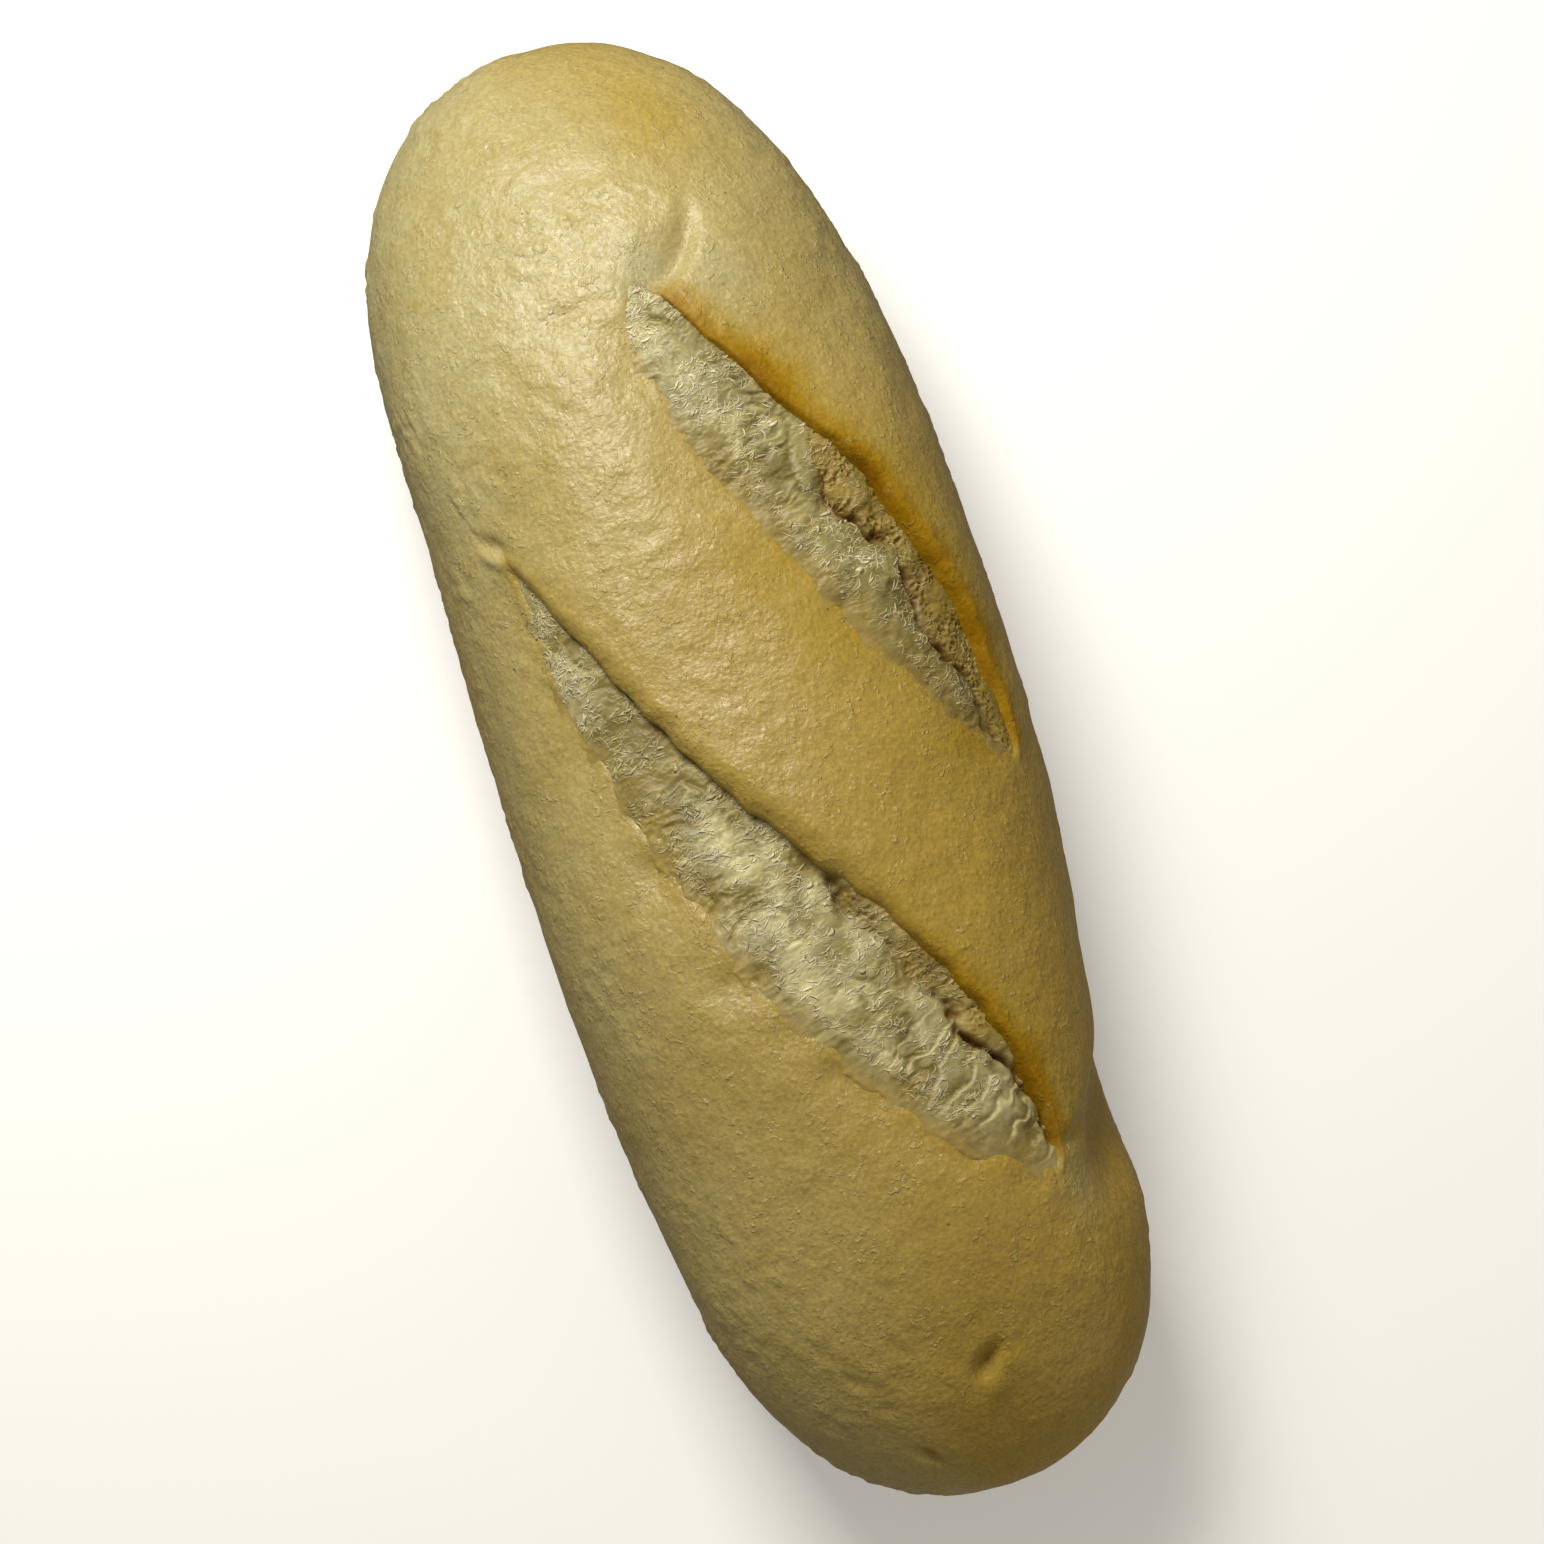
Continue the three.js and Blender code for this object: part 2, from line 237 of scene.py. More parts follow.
LOWER_SLASH = Slash(
    x=16.0, arc=-2.8, slant=26.8, length=112.0,
    crumb_width=14.2, crumb_peak=0.25, crumb_sharpness=(0.9, 0.78),
    lip_width=6.0, lip_peak=0.72, lip_sharpness=(4.0, 0.6), lip_dip=1.4,
    wall_width=3.6, wall_outside=0.2, wall_start=0.02, wall_end=0.85, wall_holes=0.3,
    rise_start=1.0, sink=1.7, edge_drop=1.3,
    brown_start=0.1, brown_full=0.65, edge_brown_and_shade=0.0, edge_folds=0.6,
    covered=-1.0, pleats_start=0.42, film_start=0.92,
    painted_lit_along=0.2, painted_lit_reach=0.45, ruffled_along=-0.03, ruffled_reach=0.27, painted_shade_away=0.38, seed=12)
SLASHES = [UPPER_SLASH, LOWER_SLASH]


@dataclass
class Hollow:
    """An oval hollow of the crust, or a bump where its depth is below zero."""

    x: float
    arc: float
    half_length: float
    half_width: float
    turn: float
    depth: float


@dataclass
class Crease:
    """A curved crease of the crust: two ends and a handle, each along the roll and round its arc."""

    start: tuple
    handle: tuple
    end: tuple
    right_width: float
    left_width: float
    depth: float


@dataclass
class Tint:
    """A round patch that is browned, pale and stretched, a painted highlight, or darkened by painted shade,
    more than the rest.
    """

    x: float
    arc: float
    reach: float
    strength: float


HOLLOWS = [
    Hollow(60.5, 45.0, 15.0, 6.5, 118, 4.2),
    Hollow(-45.0, -50.0, 16.0, 12.0, 0, 0.7),
    Hollow(30.0, -52.0, 20.0, 12.0, 0, 0.5),
    Hollow(15.0, 50.0, 20.0, 12.0, 0, -0.7),
    Hollow(-33.2, -28.3, 3.2, 1.1, 57, 0.9),
    Hollow(-58.1, -8.1, 2.6, 1.1, 107, 0.35),
    Hollow(-53.7, -18.2, 2.4, 1.2, 107, 0.3),
    Hollow(-77.2, -17.4, 2.0, 0.9, 107, 0.25),
    Hollow(-80.0, -23.7, 2.8, 1.0, 107, 0.2),
    Hollow(-84.2, -11.1, 1.2, 0.8, 30, 0.5),
    Hollow(-91.1, -19.3, 0.9, 0.7, 0, 0.45),
    Hollow(85.2, 2.7, 3.0, 1.3, 117, 1.9),
    Hollow(88.4, 3.3, 2.6, 1.5, 117, -0.5),
    Hollow(94.0, -17.4, 2.1, 1.1, 72, 1.7),
    Hollow(82.4, -19.6, 1.7, 0.8, 72, 0.5),
    Hollow(87.0, -17.1, 1.1, 0.8, 100, 0.35),
    Hollow(95.7, 17.3, 1.2, 0.9, 0, 0.6),
    Hollow(-61.3, 6.2, 4.2, 2.6, 120, 0.8),
    Hollow(-31.2, -28.4, 2.6, 0.9, 57, -0.4),
    Hollow(2.0, -15.4, 7.0, 3.0, 27, 0.5),
    Hollow(35.0, 0.0, 4.5, 2.5, 27, 0.5),
]
CREASES = [
    Crease((-66.8, 14.6), (-58.0, 10.8), (-57.2, 3.4), 2.2, 0.7, 2.3),
    Crease((-57.3, 1.5), (-58.3, -3.6), (-57.8, -9.0), 1.2, 0.8, 0.3),
    Crease((-42.4, -33.7), (-36.0, -30.9), (-34.5, -30.6), 0.5, 0.5, 0.2),
    Crease((62.0, 24.5), (62.5, 28.0), (58.5, 34.5), 1.1, 1.1, 0.8),
]
BROWN_TINTS = [
    Tint(-82.9, 17.5, 10.0, 0.22),
    Tint(85.2, 2.7, 1.3, 0.4),
    Tint(94.0, -17.4, 1.2, 0.4),
    Tint(57.2, 22.3, 3.2, 0.95),
    Tint(88.5, 4.0, 13.0, 0.3),
]
PALE_TINTS = [
    Tint(-60.8, 5.4, 3.8, 0.9),
    Tint(-31.2, -28.4, 1.6, 0.4),
    Tint(67.5, 27.0, 4.4, 0.4),
    # This patch is a painted highlight: a slope behind the crescent crease made paler where light falls on
    # it
    Tint(-57.0, 14.5, 5.5, 0.5),
]
# Patches of painted shade on the crumb, where its hollows lie in shadow
PAINTED_SHADE_TINTS = [
    Tint(2.0, -15.4, 6.0, 0.3),
    Tint(35.0, 0.0, 4.0, 0.2),
    Tint(48.6, 12.7, 3.5, 0.15),
]


# Noise

def lattice(ix, iy, iz, seed):
    """A repeatable number from 0 to 1 for each point of a whole-number grid."""
    mixed = (ix * 374761393 + iy * 668265263 + iz * 1440662683 + seed * 974634777) & 0xFFFFFFFF
    mixed = ((mixed ^ (mixed >> 13)) * 1274126177) & 0xFFFFFFFF
    mixed = ((mixed ^ (mixed >> 16)) * 668265263) & 0xFFFFFFFF
    return ((mixed ^ (mixed >> 15)) & 0xFFFFFF) / 0xFFFFFF


def smooth_noise(points, seed):
    """Smooth noise from -1 to 1, with bumps about one unit across."""
    cell = np.floor(points).astype(np.int64)
    part = points - cell
    part = part * part * part * (part * (part * 6 - 15) + 10)
    total = np.zeros(len(points))
    for dx in (0, 1):
        for dy in (0, 1):
            for dz in (0, 1):
                weight = np.prod(np.abs(1 - np.array([dx, dy, dz]) - part), axis=1)
                total += weight * lattice(cell[:, 0] + dx, cell[:, 1] + dy, cell[:, 2] + dz, seed)
    return 2 * total - 1


def layered_noise(points, layers, seed):
    """Smooth noise with finer and weaker layers on top."""
    total = np.zeros(len(points))
    for layer in range(layers):
        total += smooth_noise(points * 2 ** layer, seed + layer) / 2 ** layer
    return total


def ridged_noise(points, seed):
    """Noise with sharp crests, from -1 in the hollows to 1 on the crests."""
    return 1 - 2 * np.minimum(1, 1.5 * np.abs(smooth_noise(points, seed)))


def cell_noise(points, seed):
    """Distances to the nearest and the second nearest of one scattered point in each unit cell."""
    cell = np.floor(points).astype(np.int64)
    nearest = np.full(len(points), 9.0)
    second = np.full(len(points), 9.0)
    for dx in (-1, 0, 1):
        for dy in (-1, 0, 1):
            for dz in (-1, 0, 1):
                corner = cell + np.array([dx, dy, dz])
                spots = [corner[:, axis] + lattice(*corner.T, seed + axis) for axis in range(3)]
                distance = np.linalg.norm(points - np.stack(spots, axis=1), axis=1)
                second = np.minimum(second, np.maximum(nearest, distance))
                nearest = np.minimum(nearest, distance)
    return nearest, second


# Curves

def ease(value):
    """A smooth step from 0 at 0 to 1 at 1."""
    part = np.clip(value, 0, 1)
    return part * part * (3 - 2 * part)


def hump(offset, reach):
    """A smooth hump, 1 at its centre."""
    return np.exp(-(offset / reach) ** 2)


def reach_at(share, bluntness):
    """Half the outline's spread at a share of the half length, 1 at the middle and 0 at the tip."""
    return np.sqrt(np.maximum(0, 1 - np.abs(share) ** bluntness))


def bow(along, peak, sharpness):
    """How far an edge bows out, 1 at its peak and 0 at both tips, with a sharpness for each side."""
    after = along > peak
    span = np.where(after, 1 - peak, 1 + peak)
    return np.maximum(0, 1 - ((along - peak) / span) ** 2) ** np.where(after, sharpness[1], sharpness[0])


def turned(ahead, aside, turn):
    """Distances along and across a direction that is turned by some degrees."""
    angle = math.radians(turn)
    along = ahead * math.cos(angle) + aside * math.sin(angle)
    return along, aside * math.cos(angle) - ahead * math.sin(angle)


# The smooth body

def body_points(x, angle):
    """Points of the smooth body, at angles from the top line towards +Y."""
    share = x / (LENGTH / 2)
    taper = 1 - TAPER_SHARE * hump(x - TAPER_X, TAPER_REACH)
    half_width = WIDTH / 2 * taper * reach_at(share, PLAN_BLUNTNESS)
    crown = (HEIGHT - BELLY_HEIGHT) * reach_at(share, CROWN_BLUNTNESS)
    keel = (BELLY_HEIGHT + BASE_PRESS) * reach_at(share, KEEL_BLUNTNESS)
    side, up = np.sin(angle), np.cos(angle)
    squareness = np.where(up >= 0, DOME_SQUARENESS, UNDERSIDE_SQUARENESS)
    swell = (np.abs(side) ** squareness + np.abs(up) ** squareness) ** (-1 / squareness)
    sway = SWAY * np.cos(2 * np.pi * (x - SWAY_X) / SWAY_PERIOD)
    y = half_width * swell * side + sway
    z = BELLY_HEIGHT + np.where(up >= 0, crown, keel) * swell * up
    return np.stack([x, y, z], axis=-1)


def pressed(height):
    """A height pressed flat on the pan, with a rounded edge."""
    rounded = (height + BASE_ROUNDING) ** 2 / (4 * BASE_ROUNDING)
    return np.where(np.abs(height) < BASE_ROUNDING, rounded, np.maximum(height, 0))


def unit(vectors):
    """The same directions at length 1."""
    return vectors / np.maximum(np.linalg.norm(vectors, axis=-1, keepdims=True), 1e-9)


def body_frame(x, arc):
    """Points of the smooth body and its outward directions there."""
    step = 0.02
    inner = x * (1 - step / LENGTH)
    angle = arc / ARC_RADIUS
    forward = body_points(inner + step, angle) - body_points(inner - step, angle)
    around = body_points(inner, angle + step) - body_points(inner, angle - step)
    return body_points(x, angle), unit(np.cross(unit(forward), unit(around)))


# Slashes

def slash_place(slash, x, arc):
    """Share along a slash from -1 to 1, and distance across it towards the lip."""
    run, across = turned(x - slash.x, arc - slash.arc, slash.slant)
    return run / (slash.length / 2), across


def surface_place(slash, along, across):
    """The place on the body, along it and round its arc, of a place in a slash."""
    slant = math.radians(slash.slant)
    run = along * slash.length / 2
    x = slash.x + run * math.cos(slant) - across * math.sin(slant)
    arc = slash.arc + run * math.sin(slant) + across * math.cos(slant)
    return x, arc


def wander(slash, along, spacing, seed):
    """A slow repeatable wobble along a slash."""
    run = np.ravel(along) * slash.length / 2 / spacing
    line = np.stack([run, np.zeros_like(run), np.zeros_like(run)], axis=1)
    return smooth_noise(line, slash.seed + seed).reshape(np.shape(along))


def slash_edges(slash, along):
    """Distances across a slash of its crumb edge, its cleft and its lip."""
    inside = np.clip(along, -1, 1)
    openness = reach_at(inside, 2)
    lip = slash.lip_width * bow(inside, slash.lip_peak, slash.lip_sharpness)
    lip = lip - slash.lip_dip * openness * hump(inside - LIP_DIP_ALONG, LIP_DIP_REACH)
    lip = lip + LIP_WOBBLE * openness * wander(slash, inside, LIP_WOBBLE_SPACING, 9)
    crumb = -slash.crumb_width * bow(inside, slash.crumb_peak, slash.crumb_sharpness)
    crumb = crumb + EDGE_WOBBLE * openness * wander(slash, inside, EDGE_WOBBLE_SPACING, 1)
    wall = slash.wall_width * ease((inside - slash.wall_start) / WALL_GROWTH)
    wall = wall * ease((slash.wall_end - inside) / WALL_GROWTH)
    wall = wall * (1 + WALL_WOBBLE * wander(slash, inside, WALL_WOBBLE_SPACING, 2))
    lip = lip + slash.wall_outside * wall
    return crumb, lip - wall, lip


def opened(slash, along):
    """How far a slash lies open, from 0 where the crust still covers its first tip to 1."""
    return ease((along - slash.covered) / OPENING_SPAN)


def baking(slash, along):
    """How strongly the lip of a slash is baked, from 0 to 1 along it."""
    return ease((along - slash.brown_start) / (slash.brown_full - slash.brown_start))


def lip_growth(slash, along):
    """How far the lip stands up over the crumb, from its share at the start to 1."""
    grown = ease((along - LIP_GROWTH_START) / LIP_GROWTH_SPAN)
    return slash.rise_start + (1 - slash.rise_start) * grown


def slash_relief(slash, along, across):
    """Height of the crust round one slash over the smooth body."""
    crumb, _, lip = slash_edges(slash, along)
    openness = reach_at(np.clip(along, -1, 1), 2) * opened(slash, along)
    over = across - lip
    inner = ease(1 + over / LIP_INNER)
    grown = lip_growth(slash, along)
    rise = LIP_RISE * grown * hump(np.maximum(over, 0), LIP_REACH)
    baked = baking(slash, along)
    curb = SOFT_CURB_REACH + (CURB_RADIUS - SOFT_CURB_REACH) * baked
    curb = curb * grown * np.maximum(openness, 0.05)
    inward = 1 - np.clip(over / curb, 0, 1)
    soft = SOFT_CURB_SLOPE * inward ** 2
    fall = curb * (soft + (1 - np.sqrt(1 - inward ** 2) - soft) * baked)
    trough = TROUGH_DEPTH * ease(-over / TROUGH_WALL) * ease((across - crumb - TROUGH_START) / TROUGH_SLOPE)
    drop = slash.edge_drop * hump(np.minimum(across - crumb, 0), EDGE_REACH) * (1 - inner)
    folds = slash.edge_folds * wander(slash, along, FOLD_SPACING, 7)
    folds = folds * hump(across - crumb + 1.0, FOLD_REACH) * (1 - inner)
    return openness * (rise * inner + folds - trough - drop) - np.where(openness > 0, fall * inner, 0)


def slash_browning(slash, along, across, points):
    """How browned the crust is along one slash's lip and crumb edge, the crumb edge partly with painted
    shade where the crust dips into the slash.
    """
    crumb, _, lip = slash_edges(slash, along)
    openness = reach_at(np.clip(along, -1, 1), 2) * opened(slash, along)
    over = across - lip
    inner = ease(1 + over / LIP_INNER)
    tips = ease((1 - np.abs(along)) / TIP_SPAN) * opened(slash, along)
    outside = np.maximum(over, 0) * (1 + 0.35 * layered_noise(points / 5.0, 2, slash.seed + 8))
    spread = BROWN_BAND + BROWN_BAND_GROWTH * ease((along + 0.95) / 0.4)
    band = 0.7 * np.exp(-(outside / spread) ** 1.8) + 0.3 * np.exp(-outside / BROWN_LINE)
    patches = 0.9 + 0.25 * wander(slash, along, LIP_PATCH, 3)
    lip_brown = (0.25 + 0.75 * baking(slash, along)) * tips * patches * band * inner
    edge_patches = np.clip(0.6 + 0.7 * wander(slash, along, EDGE_PATCH, 4), 0, 1)
    # Browning along the crumb edge, partly painted shade where the crust dips into the slash
    edge_brown_and_shade = slash.edge_brown_and_shade * ease((along + 0.3) / 0.6) * tips * edge_patches
    edge_brown_and_shade = edge_brown_and_shade * hump(np.minimum(across - crumb, 0), EDGE_BROWN_AND_SHADE_REACH) * (over < -1)
    # A thin line at the crumb edge, partly browning and partly a painted shadow of the crease
    edge_line_and_shade = EDGE_LINE_BROWN_AND_SHADE * openness * hump(across - crumb, EDGE_LINE) * (over < -1)
    return np.maximum(lip_brown, np.maximum(edge_brown_and_shade, edge_line_and_shade))


# Details of the crust

def oval_distance(hollow, x, arc):
    """Distance from a hollow's centre, 1 on its oval edge."""
    run, across = turned(x - hollow.x, arc - hollow.arc, hollow.turn)
    return np.hypot(run / hollow.half_length, across / hollow.half_width)


def crease_depth(crease, x, arc):
    """Depth of a crease round its curved line, shallower towards both ends."""
    start, handle, end = np.array([crease.start, crease.handle, crease.end])
    nearest = np.full_like(x, 1e9)
    depth = np.zeros_like(x)
    for step in np.linspace(0, 1, CREASE_STEPS):
        first, last = start + (handle - start) * step, handle + (end - handle) * step
        spot, heading = first + (last - first) * step, last - first
        ahead, aside = x - spot[0], arc - spot[1]
        distance = np.hypot(ahead, aside)
        on_left = heading[0] * aside - heading[1] * ahead > 0
        width = np.where(on_left, crease.left_width, crease.right_width)
        fading = crease.depth * math.sin(math.pi * (0.1 + 0.8 * step))
        depth = np.where(distance < nearest, fading * hump(distance, width), depth)
        nearest = np.minimum(nearest, distance)
    return depth


def detail_relief(x, arc):
    """Hollows, bumps and creases of the crust."""
    height = np.zeros_like(x)
    for hollow in HOLLOWS:
        height -= hollow.depth * np.exp(-oval_distance(hollow, x, arc) ** 2.4)
    for crease in CREASES:
        height -= crease_depth(crease, x, arc)
    return height


def tint(tints, x, arc):
    """The strongest of some tints at each place."""
    strongest = np.zeros_like(x)
    for patch in tints:
        distance = np.hypot(x - patch.x, arc - patch.arc)
        strongest = np.maximum(strongest, patch.strength * hump(distance, patch.reach))
    return strongest


def plain_relief(x, arc, points):
    """Height over the smooth body of the crust's slow waves, details and fine unevenness."""
    angle = arc / ARC_RADIUS
    phase = np.pi * x / UNEVEN_ALONG + 2 * np.cos(angle)
    height = UNEVENNESS * np.cos(angle / 2) ** 2 * np.sin(phase) * np.sin(np.pi * arc / UNEVEN_ROUND)
    height += detail_relief(x, arc)
    height += FINE_UNEVENNESS * layered_noise(points / FINE_SPACING, 3, 31)
    return height * reach_at(x / (LENGTH / 2), TIP_FADE)


def gold_and_painted_shade(x, arc):
    """How golden the plain crust is, partly its own bake and partly painted shade: more towards +X, to the
    +Y side, at the ends and low on the flank.
    """
    along = 0.52 * ease((x + 75) / 65) + 0.08 * ease((x - 10) / 60)
    side = (0.22 + 0.2 * ease((x + 70) / 50)) * ease((arc + 18) / 38)
    side = side - 0.25 * ease((-arc - 15) / 20)
    ends = 0.35 * ease((np.abs(x) - 80) / 20) * ease((arc + 25) / 25)
    flank = 0.5 * ease((-arc - 36) / 24) * (1 - 0.5 * ease((x + 10) / 60))
    return np.clip(along + side + ends + flank, 0, 1)


def crust_relief(x, arc, points):
    """Height of the crust over the smooth body, and how browned and how pale it is, with some painted shade
    in the browning and one painted highlight among the pale patches.
    """
    height = plain_relief(x, arc, points)
    nearest, _ = cell_noise(points / PIMPLE_SPACING, 41)
    pimple = PIMPLE_HEIGHT + PALE_PIMPLE_HEIGHT * (1 - gold_and_painted_shade(x, arc))
    height += pimple * ease((0.6 - nearest) / 0.5) * ease(0.4 + smooth_noise(points / PIMPLE_PATCH, 45))
    brown = tint(BROWN_TINTS, x, arc)
    for slash in SLASHES:
        along, across = slash_place(slash, x, arc)
        height += slash_relief(slash, along, across)
        brown = np.maximum(brown, slash_browning(slash, along, across, points))
    return height, brown, tint(PALE_TINTS, x, arc)


def column_places():
    """Arc places of the grid columns where X is 0: fine at the lips, coarse underneath."""
    samples = np.linspace(-HALF_TURN, HALF_TURN, COLUMN_SAMPLES)
    step = np.where(np.abs(samples) > TOP_ARC, UNDER_STEP, COLUMN_STEP)
    for slash in SLASHES:
        centre = slash.arc - COLUMN_SLOPE * slash.x
        step = step + (LIP_STEP - step) * hump(samples - centre, LIP_BAND)
    count = np.concatenate([[0], np.cumsum(np.diff(samples) / step[1:])])
    columns = int(count[-1])
    return np.interp(np.linspace(0, count[-1], columns + 1), count, samples)[:-1]


def crust_places():
    """Places along and round the body of every grid point, with columns bent along the lips."""
    even = np.linspace(-1, 1, CRUST_ROWS + 1)[1:-1]
    rows = LENGTH / 2 * ((1 - END_CROWDING) * even + END_CROWDING * np.sin(even * math.pi / 2))
    columns = column_places()
    x = np.repeat(rows[:, None], len(columns), axis=1)
    arc = columns[None, :] + COLUMN_SLOPE * x
    for slash in SLASHES:
        along = np.linspace(-1, 1, LIP_SAMPLES)
        lip_x, lip_arc = surface_place(slash, along, slash_edges(slash, along)[2])
        centre = slash.arc - COLUMN_SLOPE * slash.x
        bend = np.interp(rows, lip_x, lip_arc - centre - COLUMN_SLOPE * lip_x)
        near = np.clip(np.abs(columns - centre) / LIP_WARP_REACH, 0, 1)
        arc = arc + bend[:, None] * (1 - near[None, :] ** 2) ** 2
    return x, (arc + HALF_TURN) % (2 * HALF_TURN) - HALF_TURN


# Meshes

def add_mesh(name, points, faces, attributes, material):
    """A smooth mesh object from points in millimetres, with the attributes' numbers at its points."""
    mesh = bpy.data.meshes.new(name)
    mesh.from_pydata((points * MM).tolist(), [], faces)
    for key, values in attributes.items():
        layer = mesh.attributes.new(key, "FLOAT", "POINT")
        layer.data.foreach_set("value", np.ascontiguousarray(values, dtype=np.float32))
    mesh.shade_smooth()
    mesh.materials.append(material)
    piece = bpy.data.objects.new(name, mesh)
    bpy.context.collection.objects.link(piece)
    return piece


def grid_faces(grid):
    """Four-cornered faces between the rows of a grid of point numbers."""
    corners = [grid[:-1, :-1], grid[1:, :-1], grid[1:, 1:], grid[:-1, 1:]]
    return np.stack(corners, axis=-1).reshape(-1, 4).tolist()


def fan_faces(centre, rim):
    """Triangles from one point to each step of a rim."""
    return [[centre, int(first), int(second)] for first, second in zip(rim[:-1], rim[1:])]


def crust_skin():
    """Points, faces and attributes of the crust: one closed skin with a trough under each slash."""
    x, arc = crust_places()
    points, outward = body_frame(x.ravel(), arc.ravel())
    height, brown, pale = crust_relief(x.ravel(), arc.ravel(), points)
    points = points + outward * height[:, None]
    points[:, 2] = pressed(points[:, 2])
    tips = body_points(np.array([-LENGTH / 2, LENGTH / 2]), np.zeros(2))
    rings = np.arange(x.size).reshape(x.shape)
    rings = np.concatenate([rings, rings[:, :1]], axis=1)
    faces = grid_faces(rings)
    faces += fan_faces(x.size, rings[0])
    faces += fan_faces(x.size + 1, rings[-1, ::-1])
    gold = gold_and_painted_shade(x.ravel(), arc.ravel())
    attributes = {
        "brown": np.append(brown, [0, 0]),
        "pale": np.append(pale, [0, 0]),
        "gold": np.append(gold, [1, 1]),
    }
    return np.concatenate([points, tips]), faces, attributes


# Torn crumb

def turned_space(points, turn, along, across):
    """Points in a space turned about Z and stretched along the turned direction."""
    run, side = turned(points[:, 0], points[:, 1], turn)
    return np.stack([run / along, side / across, points[:, 2] / along], axis=1)


def curled(points, amount, spacing, seed):
    """Points pushed about by slow noise, so that straight patterns curl."""
    pushes = [smooth_noise(points / spacing, seed + axis) for axis in range(3)]
    return points + amount * np.stack(pushes, axis=1)


def torn_layers(points, turn, spacing, raggedness, seed):
    """Ragged one-sided steps along a turned direction, from 0 at their foot to 1 at their edge."""
    side = turned_space(points, turn, 1.0, spacing)[:, 1]
    wobble = 1.5 * smooth_noise(turned_space(points, turn, 3.2, 1.3), seed)
    wobble = wobble + 0.5 * smooth_noise(points / 0.8, seed + 1)
    phase = side + raggedness * wobble
    return phase - np.floor(phase)


def crumb_shape(slash, along, across, ragged):
    """The crumb's main shape over the plain crust, how torn its wall is, and its toast and rim tones."""
    crumb, cleft, lip = slash_edges(slash, along)
    wall = lip - cleft
    torn = ease((wall - 0.5) / 1.5)
    from_edge = across - crumb + ragged
    part = np.clip(from_edge / np.maximum(cleft - crumb, 0.5), 0, 1)
    swell = slash.edge_drop * (1 - CRUMB_SWELL_SHARE * ease(from_edge / CRUMB_SWELL_REACH)) - EDGE_OVERLAP
    sinking = slash.sink * lip_growth(slash, along) * (0.4 + 0.6 * ease((along + 0.7) / 0.5)) * part ** 2
    tuck = CRUMB_TUCK_DEPTH * (1 - ease((from_edge + CRUMB_TUCK_LEFT) / CRUMB_TUCK_LEFT))
    climb = torn * ease((across - cleft) / np.maximum(wall, 0.6))
    height = -(swell + sinking + tuck) * (1 - climb) - WALL_TOP_DEPTH * climb
    toast = torn * ease((across - cleft + 0.5) / 1.4)
    wide = GOLDEN_RIM * ease((along + 0.6) / 0.3) * (1 - ease((from_edge - 1.0) / GOLDEN_RIM_REACH))
    rim = np.maximum(1 - ease((from_edge - 0.2) / 1.2), wide)
    height = height * reach_at(along, 2) - COVERED_DEPTH * (1 - opened(slash, along + OPENING_SPAN))
    return height, torn * ease((across - cleft + 0.8) / 1.4), toast, rim


def film_cover(slash, along):
    """How far a smooth film covers one end of the crumb, from 0 to 1."""
    return ease((along - slash.film_start) / FILM_SPAN)


def crack_depth(slash, along, across, points):
    """Depth of the ragged crack between the crumb and its torn wall."""
    _, cleft, _ = slash_edges(slash, along)
    run = ease((along - slash.wall_start) / 0.2) * ease((0.97 - along) / 0.08)
    gaping = 0.6 * ease((along - slash.pleats_start - 0.15) / 0.15)
    openings = ease(0.55 + gaping + wander(slash, along, CRACK_SPACING, 6))
    openings = openings * (0.7 + 0.5 * smooth_noise(points / 1.3, slash.seed + 70))
    ragged = 0.8 * smooth_noise(points / 1.8, slash.seed + 75)
    return CRACK_DEPTH * run * openings * hump(across - cleft + 0.3 + ragged, CRACK_WIDTH)


def wall_pores(slash, points, torn):
    """Pores of the torn wall, as height below its main shape."""
    seed = slash.seed
    nearest, second = cell_noise(curled(points, 0.8, 1.5, seed + 50) / PORE_SPACING, seed + 60)
    cavities = ease((second - nearest) / 0.45) * ease(0.5 + smooth_noise(points / 2.5, seed + 65))
    return -slash.wall_holes * torn * cavities


